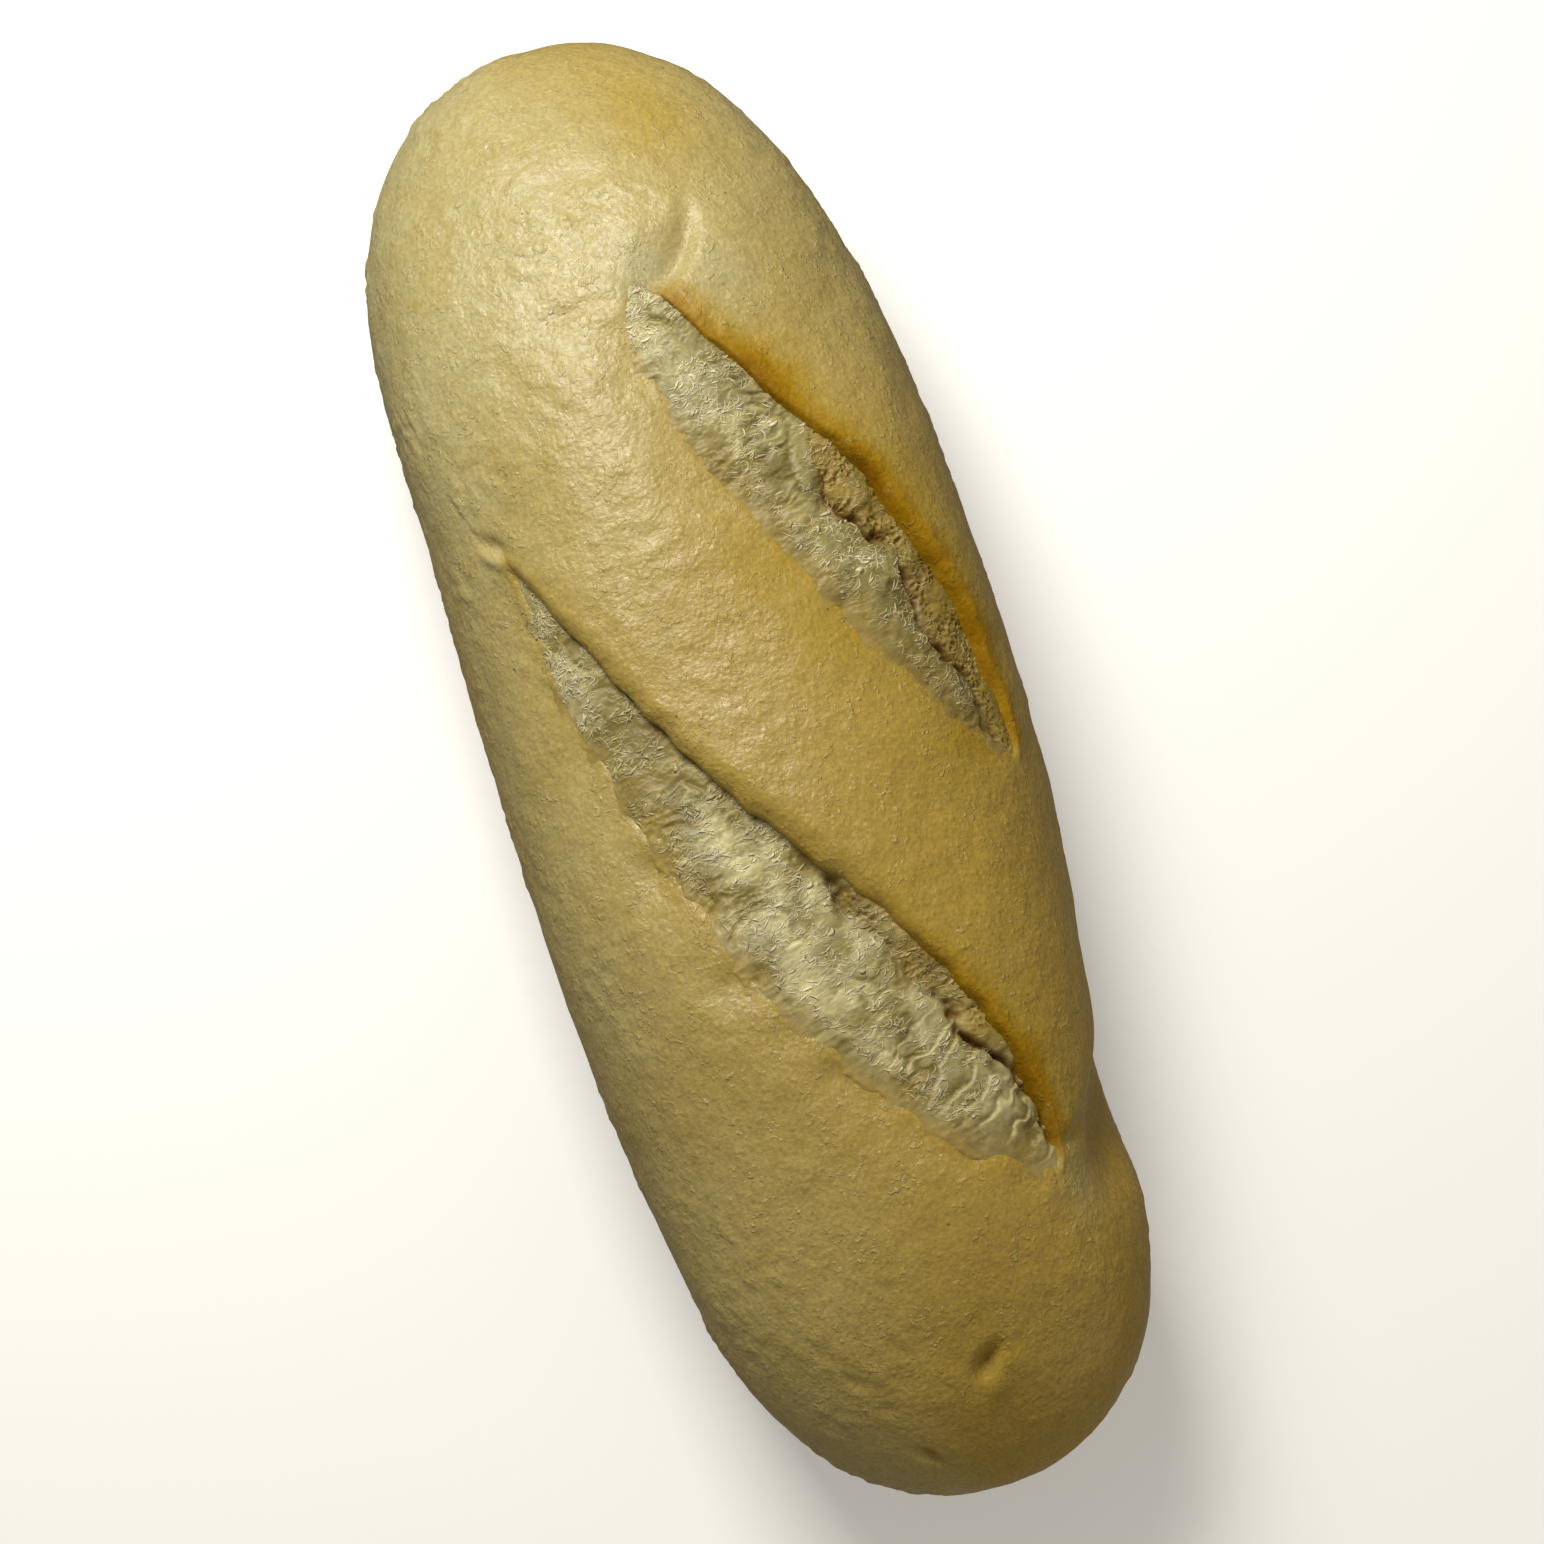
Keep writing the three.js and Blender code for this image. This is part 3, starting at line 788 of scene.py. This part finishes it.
def crumb_texture(slash, along, across, points, torn):
    """Lumps, felted fibres, pores and pleats of the crumb, as height over its main shape."""
    seed = slash.seed
    from_edge = across - slash_edges(slash, along)[0]
    edge = (0.45 + 0.55 * ease(from_edge / 2.5)) * ease((1 - np.abs(along)) / TIP_SPAN)
    edge = edge * (1 - 0.85 * film_cover(slash, along))
    loose = curled(points, 0.9, 2.4, seed + 20)
    patches = ease(0.55 + 0.9 * smooth_noise(points / 4.5, seed + 25))
    ruffled = 0.55 + 0.5 * hump(along - slash.ruffled_along, slash.ruffled_reach)
    lumps = LUMP_HEIGHT * smooth_noise(points / LUMP_SPACING, seed + 30)
    lumps = lumps + SMALL_LUMP_HEIGHT * ruffled * smooth_noise(loose / SMALL_LUMP_SPACING, seed + 31)
    clumps = turned_space(curled(points, 1.6, 3.5, seed + 32), FIBRE_TURN, VALLEY_LENGTH, VALLEY_WIDTH)
    nearest, second = cell_noise(clumps, seed + 33)
    valleys = -VALLEY_DEPTH * ruffled * patches * (1 - ease((second - nearest) / 0.3))
    scales = turned_space(loose, FIBRE_TURN, FLAKE_LENGTH, FLAKE_WIDTH)
    flakes = FLAKE_HEIGHT * patches * ridged_noise(scales, seed + 40)
    felt = FELT_HEIGHT * (torn_layers(points, FIBRE_TURN, FELT_SPACING, 1.0, seed + 41) - 0.5)
    hairs = turned_space(loose, FUZZ_TURN, FUZZ_LENGTH, FUZZ_WIDTH)
    fuzz = FUZZ_HEIGHT * ridged_noise(hairs, seed + 43)
    place = ease((along - slash.pleats_start) / 0.2) * ease((from_edge - 0.8) / 5.0)
    folds = torn_layers(loose, PLEAT_TURN, PLEAT_SPACING, PLEAT_RAGGEDNESS, seed + 80)
    pleats = place * (PLEAT_HEIGHT * folds ** 1.5 * (1 - ease((folds - 0.8) / 0.2)) - 0.15)
    fibres = (flakes + felt + fuzz) * ruffled * (1 - 0.3 * place)
    return edge * (lumps + valleys + fibres + wall_pores(slash, points, torn) + pleats * (1 - torn))


def painted_crumb_shade(slash, along, across):
    """Painted shade of the crumb: darker away from its lightest stretch, and a painted shadow under the
    lip.
    """
    crumb, cleft, _ = slash_edges(slash, along)
    painted_lip_shadow = np.clip((across - crumb) / np.maximum(cleft - crumb, 0.5), 0, 1) ** 3
    return slash.painted_shade_away * (1 - hump(along - slash.painted_lit_along, slash.painted_lit_reach)) + 0.3 * painted_lip_shadow


def crumb_surface(slash):
    """The torn face of a slash as grids of points, outward directions, tones and points deep below."""
    rows = int(slash.length / CRUMB_STEP_ALONG)
    columns = int((slash.crumb_width + slash.lip_width) / CRUMB_STEP_ACROSS)
    along = np.linspace(-CRUMB_TIP, CRUMB_TIP, rows)[:, None]
    crumb, _, lip = slash_edges(slash, along)
    left, right = crumb - CRUMB_TUCK_LEFT, lip + CRUMB_TUCK_LIP
    across = (left + (right - left) * np.linspace(0, 1, columns)[None, :]).ravel()
    along = np.repeat(along[:, 0], columns)
    x, arc = surface_place(slash, along, across)
    base, outward = body_frame(x, arc)
    ragged = 0.7 * smooth_noise(base / 2.6, slash.seed + 90)
    ragged = ragged + 0.35 * smooth_noise(base / 0.9, slash.seed + 91)
    height, torn, toast, rim = crumb_shape(slash, along, across, ragged)
    texture = crumb_texture(slash, along, across, base, torn)
    crack = crack_depth(slash, along, across, base)
    points = base + outward * (height + plain_relief(x, arc, base) + texture - crack)[:, None]
    deep = base - outward * SLAB_DEPTH
    # Painted shade: the crumb is darkened away from its lightest stretch, under the lip as a painted
    # shadow, in the shaded patches, and at the golden rim
    painted_shade_and_rim = painted_crumb_shade(slash, along, across) + 0.3 * rim + tint(PAINTED_SHADE_TINTS, x, arc)
    # Raised texture is paler than hollows, partly the crumb's own tone and partly painted shade
    lit_tuft = ease(0.75 + np.minimum(texture, 0.12) / 0.6 - painted_shade_and_rim)
    # Painted shade: the crack and the torn wall's pores are coloured dark brown
    painted_gap_shade = ease((crack - torn * np.minimum(texture, 0)) / 1.4)
    tones = np.stack([toast, rim, film_cover(slash, along), painted_gap_shade, lit_tuft], axis=1)
    return [field.reshape(rows, columns, -1) for field in (points, outward, tones, deep)]


def crumb_slab(surface):
    """Points, faces and attributes of the torn face closed to a slab that is set into the trough."""
    points, _, tones, deep = surface
    rows, columns = points.shape[:2]
    top = np.arange(rows * columns).reshape(rows, columns)
    low = top.size + np.arange(rows * 2).reshape(rows, 2)
    faces = grid_faces(top)
    faces += grid_faces(low[:, ::-1])
    faces += grid_faces(np.stack([low[:, 0], top[:, 0]], axis=1))
    faces += grid_faces(np.stack([top[:, -1], low[:, 1]], axis=1))
    faces += fan_faces(int(low[0, 0]), np.append(top[0], low[0, 1]))
    faces += fan_faces(int(low[-1, 0]), np.append(top[-1], low[-1, 1])[::-1])
    every = np.concatenate([points.reshape(-1, 3), deep[:, [0, -1]].reshape(-1, 3)])
    tones = np.concatenate([tones.reshape(-1, len(TONES)), np.ones((low.size, len(TONES)))])
    return every, faces, dict(zip(TONES, tones.T))


def sampled(field, row, column):
    """Values of a grid between its points."""
    row = np.clip(row, 0, field.shape[0] - 1.001)
    column = np.clip(column, 0, field.shape[1] - 1.001)
    i, j = row.astype(int), column.astype(int)
    u, v = (row - i)[..., None], (column - j)[..., None]
    near = field[i, j] * (1 - v) + field[i, j + 1] * v
    far = field[i + 1, j] * (1 - v) + field[i + 1, j + 1] * v
    return near * (1 - u) + far * u


def strand_lines(slash, surface, count, random):
    """Centre lines of torn strands that lie curled on the crumb, their outward directions and tones."""
    points, outward, tones, _ = surface
    rows, columns = points.shape[:2]
    row = random.uniform(*STRAND_ROWS, count) * rows
    column = random.uniform(*STRAND_COLUMNS, count) * columns
    clumps = layered_noise(sampled(points, row, column) / STRAND_CLUMP, 2, slash.seed + 95)
    there = dict(zip(TONES, sampled(tones, row, column).T))
    kept = (clumps > -0.1) & (there["film"] < 0.05) & (there["crack"] < 0.3)
    row, column = row[kept], column[kept]
    count = len(row)
    heading = np.radians(FIBRE_TURN - slash.slant) + random.normal(0, STRAND_SPREAD, count)
    curl = random.normal(0, STRAND_CURL, count)
    breadth = np.linalg.norm(points[:, -1] - points[:, 0], axis=1)[row.astype(int)]
    step = STRAND_STEP * random.uniform(0.5, 1.6, count) * np.clip(breadth / 7, 0.3, 1)
    lift = random.uniform(0.0, STRAND_LIFT, count)
    lines, sides = [], []
    for station in range(STRAND_STATIONS):
        share = station / (STRAND_STATIONS - 1)
        raised = lift * math.sin(math.pi * share) - 0.01
        up = unit(sampled(outward, row, column))
        lines.append(sampled(points, row, column) + up * raised[:, None])
        sides.append(up)
        row = row + step * np.cos(heading) / CRUMB_STEP_ALONG
        column = column + step * np.sin(heading) * columns / np.maximum(breadth, 1)
        heading = heading + curl
    return np.stack(lines, axis=1), np.stack(sides, axis=1), sampled(tones, row, column)


def strand_tubes(slash, surface):
    """Points, faces and attributes of thin flat closed strands with tapered ends."""
    random = np.random.default_rng(SEED + slash.seed)
    count = int(STRAND_DENSITY * slash.length * slash.crumb_width)
    lines, up, tones = strand_lines(slash, surface, count, random)
    count = len(lines)
    ahead = unit(np.gradient(lines, axis=1))
    side = unit(np.cross(ahead, up))
    up = np.cross(side, ahead)
    roll = random.normal(0, STRAND_ROLL, count)[:, None, None]
    side, up = np.cos(roll) * side + np.sin(roll) * up, np.cos(roll) * up - np.sin(roll) * side
    share = np.linspace(0.06, 0.94, STRAND_STATIONS)
    thickness = random.uniform(*STRAND_THICKNESS, count)[:, None, None]
    thickness = thickness * np.sin(np.pi * share)[None, :, None]
    breadth = thickness * (1.5 + random.exponential(2.0, count))[:, None, None]
    corners = []
    for corner in range(STRAND_SIDES):
        angle = 2 * math.pi * corner / STRAND_SIDES
        corners.append(lines + breadth * math.cos(angle) * side + thickness * math.sin(angle) * up)
    points = np.stack(corners, axis=2)
    numbers = np.arange(count * STRAND_STATIONS * STRAND_SIDES)
    numbers = numbers.reshape(count, STRAND_STATIONS, STRAND_SIDES)
    rings = np.concatenate([numbers, numbers[:, :, :1]], axis=2)
    quads = [rings[:, :-1, :-1], rings[:, 1:, :-1], rings[:, 1:, 1:], rings[:, :-1, 1:]]
    faces = np.stack(quads, axis=-1).reshape(-1, 4).tolist()
    faces += numbers[:, 0].tolist()
    faces += numbers[:, -1, ::-1].tolist()
    tones = np.repeat(tones, STRAND_STATIONS * STRAND_SIDES, axis=0)
    return points.reshape(-1, 3), faces, dict(zip(TONES, tones.T))


# Materials

def linear(screen_colour):
    """A colour in linear light from its 0 to 255 values on screen."""
    return tuple(((part / 255 + 0.055) / 1.055) ** 2.4 for part in screen_colour) + (1.0,)


class Look:
    """A material under construction: its nodes, links, shader and place on the object."""

    def __init__(self, name):
        self.material = bpy.data.materials.new(name)
        self.material.use_nodes = True
        self.nodes = self.material.node_tree.nodes
        self.links = self.material.node_tree.links
        self.shader = self.nodes["Principled BSDF"]
        self.place = self.nodes.new("ShaderNodeTexCoord").outputs["Object"]

    def feed(self, value, socket):
        """Link a socket, or set a plain value."""
        if isinstance(value, bpy.types.NodeSocket):
            self.links.new(value, socket)
        else:
            socket.default_value = value

    def noise(self, spacing, detail=2.0):
        """A noise texture with bumps some millimetres apart."""
        node = self.nodes.new("ShaderNodeTexNoise")
        node.inputs["Scale"].default_value = 1 / (spacing * MM)
        node.inputs["Detail"].default_value = detail
        self.links.new(self.place, node.inputs["Vector"])
        return node.outputs["Fac"]

    def cells(self, spacing):
        """Distances to points that are scattered some millimetres apart."""
        node = self.nodes.new("ShaderNodeTexVoronoi")
        node.inputs["Scale"].default_value = 1 / (spacing * MM)
        self.links.new(self.place, node.inputs["Vector"])
        return node.outputs["Distance"]

    def attribute(self, name):
        """The number that the mesh holds at each point."""
        node = self.nodes.new("ShaderNodeAttribute")
        node.attribute_name = name
        return node.outputs["Fac"]

    def span(self, value, low, high, to_low=0.0, to_high=1.0):
        """A value moved from one range to another and kept inside it."""
        node = self.nodes.new("ShaderNodeMapRange")
        self.links.new(value, node.inputs["Value"])
        ends = {"From Min": low, "From Max": high, "To Min": to_low, "To Max": to_high}
        for key, end in ends.items():
            node.inputs[key].default_value = end
        return node.outputs["Result"]

    def times(self, first, second):
        """Two values multiplied."""
        node = self.nodes.new("ShaderNodeMath")
        node.operation = "MULTIPLY"
        self.feed(first, node.inputs[0])
        self.feed(second, node.inputs[1])
        return node.outputs["Value"]

    def mix(self, share, first, second, blend="MIX"):
        """Two colours mixed by a share."""
        node = self.nodes.new("ShaderNodeMix")
        node.data_type = "RGBA"
        node.blend_type = blend
        self.feed(share, node.inputs["Factor"])
        self.feed(first, node.inputs[6])
        self.feed(second, node.inputs[7])
        return node.outputs[2]

    def bump(self, height, depth, below=None):
        """A surface bent by a height of some millimetres."""
        node = self.nodes.new("ShaderNodeBump")
        node.inputs["Distance"].default_value = depth * MM
        self.links.new(height, node.inputs["Height"])
        if below is not None:
            self.links.new(below, node.inputs["Normal"])
        return node.outputs["Normal"]

    def glow(self, share, depth, parts):
        """Light that spreads below the surface, by some millimetres for its red, green and blue parts."""
        self.shader.inputs["Subsurface Weight"].default_value = share
        self.shader.inputs["Subsurface Scale"].default_value = depth * MM
        self.shader.inputs["Subsurface Radius"].default_value = parts


def browned(look, brown, colour):
    """The crust's colour turned to tan, brown and dark brown where it is baked most."""
    colour = look.mix(look.span(brown, 0.0, 0.3), colour, linear(TAN_CRUST))
    colour = look.mix(look.span(brown, 0.25, 0.65), colour, linear(BROWN_CRUST))
    return look.mix(look.span(brown, 0.65, 1.0), colour, linear(DARK_CRUST))


def crust_bumps(look, blisters):
    """The crust's surface bent by dimples, pebbles, wrinkles and blisters."""
    dimples = look.bump(look.noise(DIMPLE_SPACING, 2.0), DIMPLE_DEPTH)
    pebbles = look.span(look.cells(PEBBLE_SPACING), 0.05, 0.55, 1.0, 0.0)
    pebbles = look.times(pebbles, look.span(look.noise(3.0), 0.42, 0.68))
    pebbled = look.bump(pebbles, PEBBLE_DEPTH, dimples)
    wrinkles = look.bump(look.noise(WRINKLE_SPACING, 3.0), WRINKLE_DEPTH, pebbled)
    return look.bump(blisters, BLISTER_DEPTH, wrinkles)


def crust_look():
    """Baked crust: pale to golden tan with fine blisters, browned along the lips; the gold and the browning
    at the crumb edges carry painted shade, and a pale patch and the blisters' glints are painted
    highlights.
    """
    look = Look("baked_crust")
    blotches = look.span(look.noise(24.0, 3.0), 0.35, 0.65)
    pale = look.mix(blotches, linear(PALE_CRUST), linear(PALE_BLOTCH))
    gold = look.mix(blotches, linear(GOLD_CRUST), linear(GOLD_BLOTCH))
    # The gold share is partly the crust's own bake and partly painted shade
    colour = look.mix(look.attribute("gold"), pale, gold)
    mottle = look.span(look.noise(4.5, 3.0), 0.3, 0.7, 0.0, 0.34)
    colour = look.mix(mottle, colour, linear(MOTTLED_CRUST))
    brown = look.attribute("brown")
    colour = browned(look, brown, colour)
    # Pale stretched crust, and one pale patch that is a painted highlight
    colour = look.mix(look.attribute("pale"), colour, linear(STRETCHED_AND_LIT_CRUST))
    stains = look.times(look.span(look.noise(1.9), 0.58, 0.7), look.span(look.noise(9.0), 0.4, 0.6))
    colour = look.mix(look.times(stains, 0.5), colour, linear(STAINED_CRUST))
    blisters = look.span(look.noise(BLISTER_SPACING, 2.0), 0.57, 0.66)
    blisters = look.times(blisters, look.span(look.noise(3.5), 0.46, 0.66))
    # Painted highlight: the tips of the blisters are coloured paler, as glints
    painted_glints = look.times(blisters, look.span(brown, 0.1, 0.5, 0.2, 0.06))
    colour = look.mix(painted_glints, colour, linear(PAINTED_BLISTER_GLINT))
    grain = look.span(look.noise(0.6, 3.0), 0.3, 0.7, 0.84, 1.1)
    colour = look.mix(1.0, colour, grain, "MULTIPLY")
    specks = look.span(look.cells(6.5), 0.02, 0.045, 0.45, 1.0)
    colour = look.mix(1.0, colour, specks, "MULTIPLY")
    look.feed(colour, look.shader.inputs["Base Color"])
    look.feed(look.span(look.noise(1.0), 0.3, 0.7, 0.28, 0.52), look.shader.inputs["Roughness"])
    look.feed(look.span(brown, 0.0, 0.6, 0.52, 0.12), look.shader.inputs["Specular IOR Level"])
    look.glow(CRUST_GLOW, CRUST_GLOW_DEPTH, CRUST_GLOW_PARTS)
    look.feed(crust_bumps(look, blisters), look.shader.inputs["Normal"])
    return look.material


def crumb_look(name, lit_tuft, hollow, glow):
    """Torn crumb: pale tufts and darker hollows, whose tone also carries painted shade, a toasted wall, a
    golden rim and painted shade in the cracks.
    """
    look = Look(name)
    colour = look.mix(look.attribute("lit_tuft"), linear(hollow), linear(lit_tuft))
    colour = look.mix(look.attribute("film"), colour, linear(CRUMB_FILM))
    colour = look.mix(look.times(look.attribute("rim"), 0.7), colour, linear(CRUMB_RIM))
    colour = look.mix(look.times(look.attribute("toast"), 0.55), colour, linear(TOASTED_CRUMB))
    grain = look.span(look.noise(1.2, 3.0), 0.3, 0.7, 0.88, 1.1)
    # Painted shade in the crack and in the wall's pores
    colour = look.mix(look.attribute("crack"), colour, linear(PAINTED_CRACK_SHADE))
    patches = look.span(look.noise(5.0, 2.0), 0.35, 0.65, 0.86, 1.14)
    colour = look.mix(1.0, colour, look.times(grain, patches), "MULTIPLY")
    look.feed(colour, look.shader.inputs["Base Color"])
    look.shader.inputs["Roughness"].default_value = CRUMB_ROUGHNESS
    look.shader.inputs["Specular IOR Level"].default_value = CRUMB_SHINE
    look.glow(glow, CRUMB_GLOW_DEPTH, CRUMB_GLOW_PARTS)
    roughened = look.bump(look.noise(CRUMB_BUMP_SPACING, 3.0), CRUMB_BUMP_DEPTH)
    look.feed(roughened, look.shader.inputs["Normal"])
    return look.material


# Camera, floor and light

def make_camera():
    """The camera, looking almost straight down on the slashes, and the picture's right and up."""
    azimuth, elevation = math.radians(CAMERA_AZIMUTH), math.radians(CAMERA_ELEVATION)
    flat = math.cos(elevation)
    back = Vector((math.sin(azimuth) * flat, -math.cos(azimuth) * flat, math.sin(elevation)))
    right = Vector((math.cos(azimuth), math.sin(azimuth), 0))
    up = back.cross(right)
    aim = Vector((0, 0, AIM_HEIGHT)) + right * AIM_RIGHT - up * AIM_DOWN
    data = bpy.data.cameras.new("camera")
    data.sensor_width = SENSOR
    data.lens = SENSOR * FOCAL_PIXELS / IMAGE_SIZE
    data.clip_start = 0.01
    camera = bpy.data.objects.new("camera", data)
    turn = Matrix((right, up, back)).transposed().to_4x4()
    camera.matrix_world = Matrix.Translation((aim + back * CAMERA_DISTANCE) * MM) @ turn
    bpy.context.collection.objects.link(camera)
    bpy.context.scene.camera = camera
    return right, Vector((up.x, up.y, 0)).normalized()


def make_floor():
    """A plain pale floor that throws no light back on the roll."""
    bpy.ops.mesh.primitive_plane_add(size=FLOOR_SIZE, location=(0, 0, 0))
    floor = bpy.context.object
    floor.name = "floor"
    material = bpy.data.materials.new("pale_floor")
    material.use_nodes = True
    shader = material.node_tree.nodes["Principled BSDF"]
    shader.inputs["Base Color"].default_value = FLOOR_COLOUR
    shader.inputs["Roughness"].default_value = 0.8
    shader.inputs["Emission Color"].default_value = (1.0, 1.0, 1.0, 1.0)
    shader.inputs["Emission Strength"].default_value = FLOOR_GLOW
    floor.data.materials.append(material)
    floor.visible_diffuse = False
    floor.visible_glossy = False


def add_light(name, place, target, size, power, colour):
    """A soft square light that faces a target, all in millimetres."""
    data = bpy.data.lights.new(name, "AREA")
    data.size = size * MM
    data.energy = power
    data.color = colour
    light = bpy.data.objects.new(name, data)
    light.location = place * MM
    light.rotation_euler = (target - place).to_track_quat("-Z", "Y").to_euler()
    bpy.context.collection.objects.link(light)


def make_light(right, up):
    """Soft light from beyond the upper end, a little to the left, a weak one opposite and an even sky."""
    key = right * KEY_RIGHT + up * KEY_UP + Vector((0, 0, KEY_HEIGHT))
    add_light("key", key, Vector((0, 0, KEY_TARGET)), KEY_SIZE, KEY_POWER, KEY_COLOUR)
    fill = right * FILL_RIGHT + up * FILL_UP + Vector((0, 0, FILL_HEIGHT))
    add_light("fill", fill, Vector((0, 0, FILL_TARGET)), FILL_SIZE, FILL_POWER, FILL_COLOUR)
    world = bpy.data.worlds.new("world")
    world.use_nodes = True
    background = world.node_tree.nodes["Background"]
    background.inputs["Color"].default_value = SKY_COLOUR
    background.inputs["Strength"].default_value = SKY_STRENGTH
    bpy.context.scene.world = world
    bpy.context.scene.view_settings.view_transform = "Standard"


# The scene

right, up = make_camera()
make_floor()
make_light(right, up)

# The upper slash's crumb material is a darker copy, as painted shade
crumb_materials = [
    crumb_look("shaded_torn_crumb_1", SHADED_UPPER_CRUMB, SHADED_UPPER_CRUMB_HOLLOW, CRUMB_GLOW),
    crumb_look("torn_crumb_2", LOWER_CRUMB, LOWER_CRUMB_HOLLOW_AND_SHADE, CRUMB_GLOW),
]
strand_material = crumb_look("torn_strands", STRAND, STRAND_HOLLOW_AND_SHADE, STRAND_GLOW)
skin = {"crust": (crust_skin(), crust_look())}
for number, (slash, crumb_material) in enumerate(zip(SLASHES, crumb_materials), 1):
    surface = crumb_surface(slash)
    skin[f"crumb_{number}"] = (crumb_slab(surface), crumb_material)
    skin[f"strands_{number}"] = (strand_tubes(slash, surface), strand_material)

# The middle of the roll's box stands over the origin, and hair-thin strands throw no shadow
crust_points = skin["crust"][0][0]
middle = (crust_points.min(axis=0) + crust_points.max(axis=0)) / 2
middle[2] = 0
for name, ((points, faces, attributes), material) in skin.items():
    piece = add_mesh(name, points - middle, faces, attributes, material)
    piece.visible_shadow = not name.startswith("strands")
    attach(piece, BODY)
    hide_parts(NODE)
